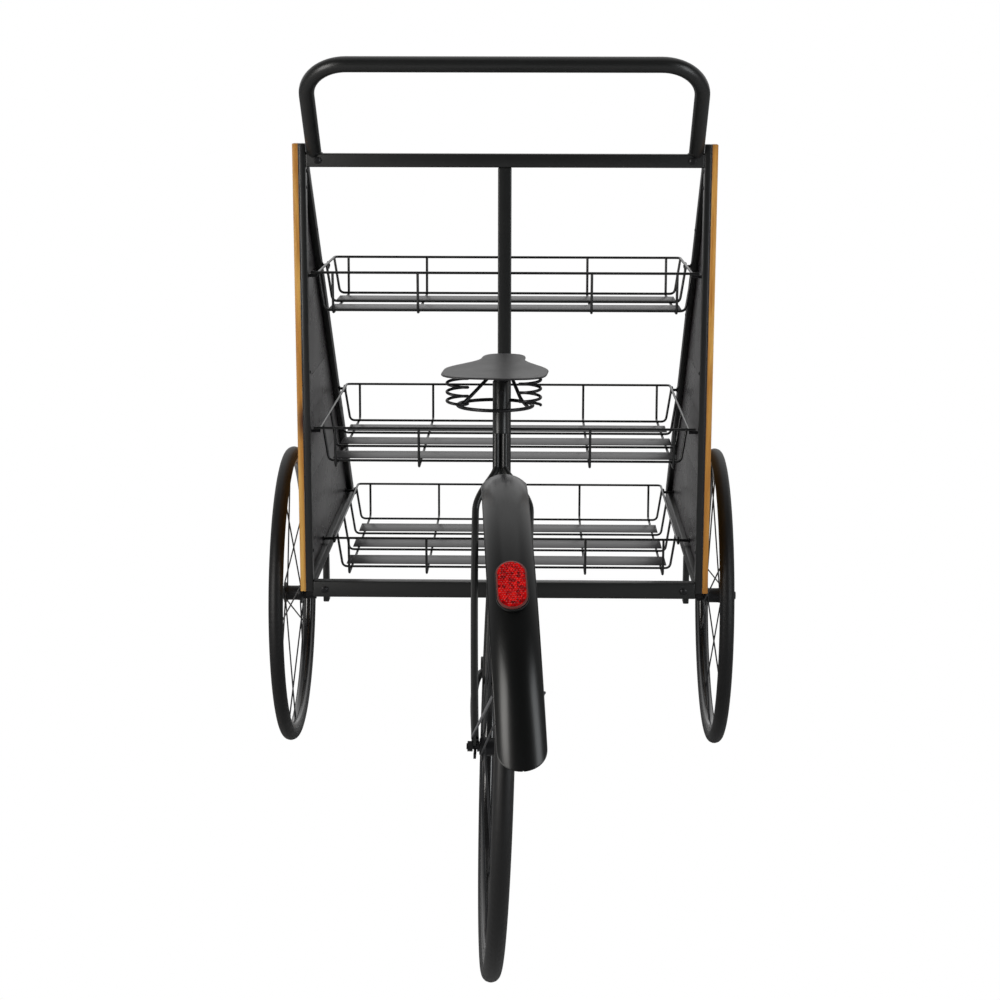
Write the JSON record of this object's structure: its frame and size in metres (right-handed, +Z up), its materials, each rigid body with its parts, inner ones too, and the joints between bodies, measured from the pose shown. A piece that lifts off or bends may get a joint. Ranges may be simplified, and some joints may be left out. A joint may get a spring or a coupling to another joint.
{
  "type": "push vending cart",
  "caption": "Three-wheeled vending cart with a bicycle rear end, a timber-sided display rack with lift-off wire baskets and a leaning push handle.",
  "frame": {"origin": "on the ground at the middle of the whole cart", "axes": "+Z up, +Y towards the open front of the rack, +X to the right when standing behind the rear wheel"},
  "size_m": [0.955, 2.0829, 1.396],
  "materials": {
    "timber": "oiled pine boards, satin",
    "panel": "dark sheet, satin",
    "tyre": "black rubber, matt",
    "rim": "black paint, gloss",
    "spokes": "dark wire, satin",
    "slats": "black sheet, satin",
    "wire": "black coated wire, satin",
    "lens": "moulded prismatic lens, gloss",
    "fender": "black paint, semi-gloss",
    "saddle": "black pressed sheet, satin",
    "dark_metal": "blackened steel, satin",
    "reflector_shell": "black plastic",
    "frame_paint": "black powder coat, satin"
  },
  "bodies": {
    "root": {"left_rear_post": "frame_paint", "right_rear_post": "frame_paint", "left_front_bar": "frame_paint", "right_front_bar": "frame_paint", "left_bottom_bar": "frame_paint", "right_bottom_bar": "frame_paint", "axle_drops": "frame_paint", "left_inner_panel": "panel", "right_inner_panel": "panel", "left_timber_boards": "timber", "right_timber_boards": "timber", "board_screws": "dark_metal", "top_cross_tube": "frame_paint", "bottom_cross_tube": "frame_paint", "centre_post": "frame_paint", "corner_tabs": "frame_paint", "frame_bolts": "dark_metal", "push_handle": "frame_paint", "basket_pegs": "dark_metal", "front_axle": "dark_metal", "axle_collars": "dark_metal", "axle_cap_nuts": "dark_metal", "rear_axle": "dark_metal", "rear_axle_nuts": "dark_metal", "seat_tube": "frame_paint", "upper_beam": "frame_paint", "lower_beam": "frame_paint", "left_seat_stay": "frame_paint", "right_seat_stay": "frame_paint", "left_chain_stay": "frame_paint", "right_chain_stay": "frame_paint", "fender_struts": "frame_paint", "dropouts": "frame_paint", "rear_fender": "fender", "reflector_base": "reflector_shell", "reflector_lens": "lens", "seat_bolt": "dark_metal"},
    "left_wheel": {"left_tyre": "tyre", "left_rim": "rim", "left_spokes": "spokes", "left_hub": "dark_metal"},
    "right_wheel": {"right_tyre": "tyre", "right_rim": "rim", "right_spokes": "spokes", "right_hub": "dark_metal"},
    "rear_wheel": {"rear_tyre": "tyre", "rear_rim": "rim", "rear_spokes": "spokes", "rear_hub": "dark_metal"},
    "top_basket": {"top_basket_wires": "wire", "top_basket_slats": "slats"},
    "middle_basket": {"middle_basket_wires": "wire", "middle_basket_slats": "slats"},
    "bottom_basket": {"bottom_basket_wires": "wire", "bottom_basket_slats": "slats"},
    "seat_pillar": {"seat_post": "dark_metal"},
    "saddle_base": {"saddle_frame": "dark_metal", "saddle_clamp": "dark_metal", "saddle_springs": "dark_metal"},
    "saddle_top": {"saddle_plate": "saddle"}
  },
  "joints": [
    {"name": "left_wheel_spin", "type": "hinge", "parent": "root", "child": "left_wheel", "pos_m": [-0.443, 0.45333, 0.306], "axis": [1, 0, 0], "continuous": true},
    {"name": "right_wheel_spin", "type": "hinge", "parent": "root", "child": "right_wheel", "pos_m": [0.432, 0.45333, 0.306], "axis": [1, 0, 0], "continuous": true},
    {"name": "rear_wheel_spin", "type": "hinge", "parent": "root", "child": "rear_wheel", "pos_m": [0, -0.64867, 0.353], "axis": [0.9984, 0.0453, -0.0349], "continuous": true},
    {"name": "top_basket_lift", "type": "slide", "parent": "root", "child": "top_basket", "axis": [0, 0, 1], "range_m": [0, 0.03]},
    {"name": "middle_basket_lift", "type": "slide", "parent": "root", "child": "middle_basket", "axis": [0, 0, 1], "range_m": [0, 0.03]},
    {"name": "bottom_basket_lift", "type": "slide", "parent": "root", "child": "bottom_basket", "axis": [0, 0, 1], "range_m": [0, 0.03]},
    {"name": "seat_height", "type": "slide", "parent": "root", "child": "seat_pillar", "axis": [0, 0, 1], "range_m": [0, 0.08]},
    {"name": "saddle_swivel", "type": "hinge", "parent": "seat_pillar", "child": "saddle_base", "pos_m": [0, -0.22867, 0.877], "axis": [0, 0, 1], "range_deg": [-30, 30]},
    {"name": "saddle_nod", "type": "hinge", "parent": "saddle_base", "child": "saddle_top", "pos_m": [0.00411, -0.11311, 0.87771], "axis": [0.9962, -0.0872, 0], "range_deg": [0, 2], "stiffness_Nm_per_rad": 400, "springref_deg": -1.15, "deforming": ["saddle_springs"]}
  ]
}
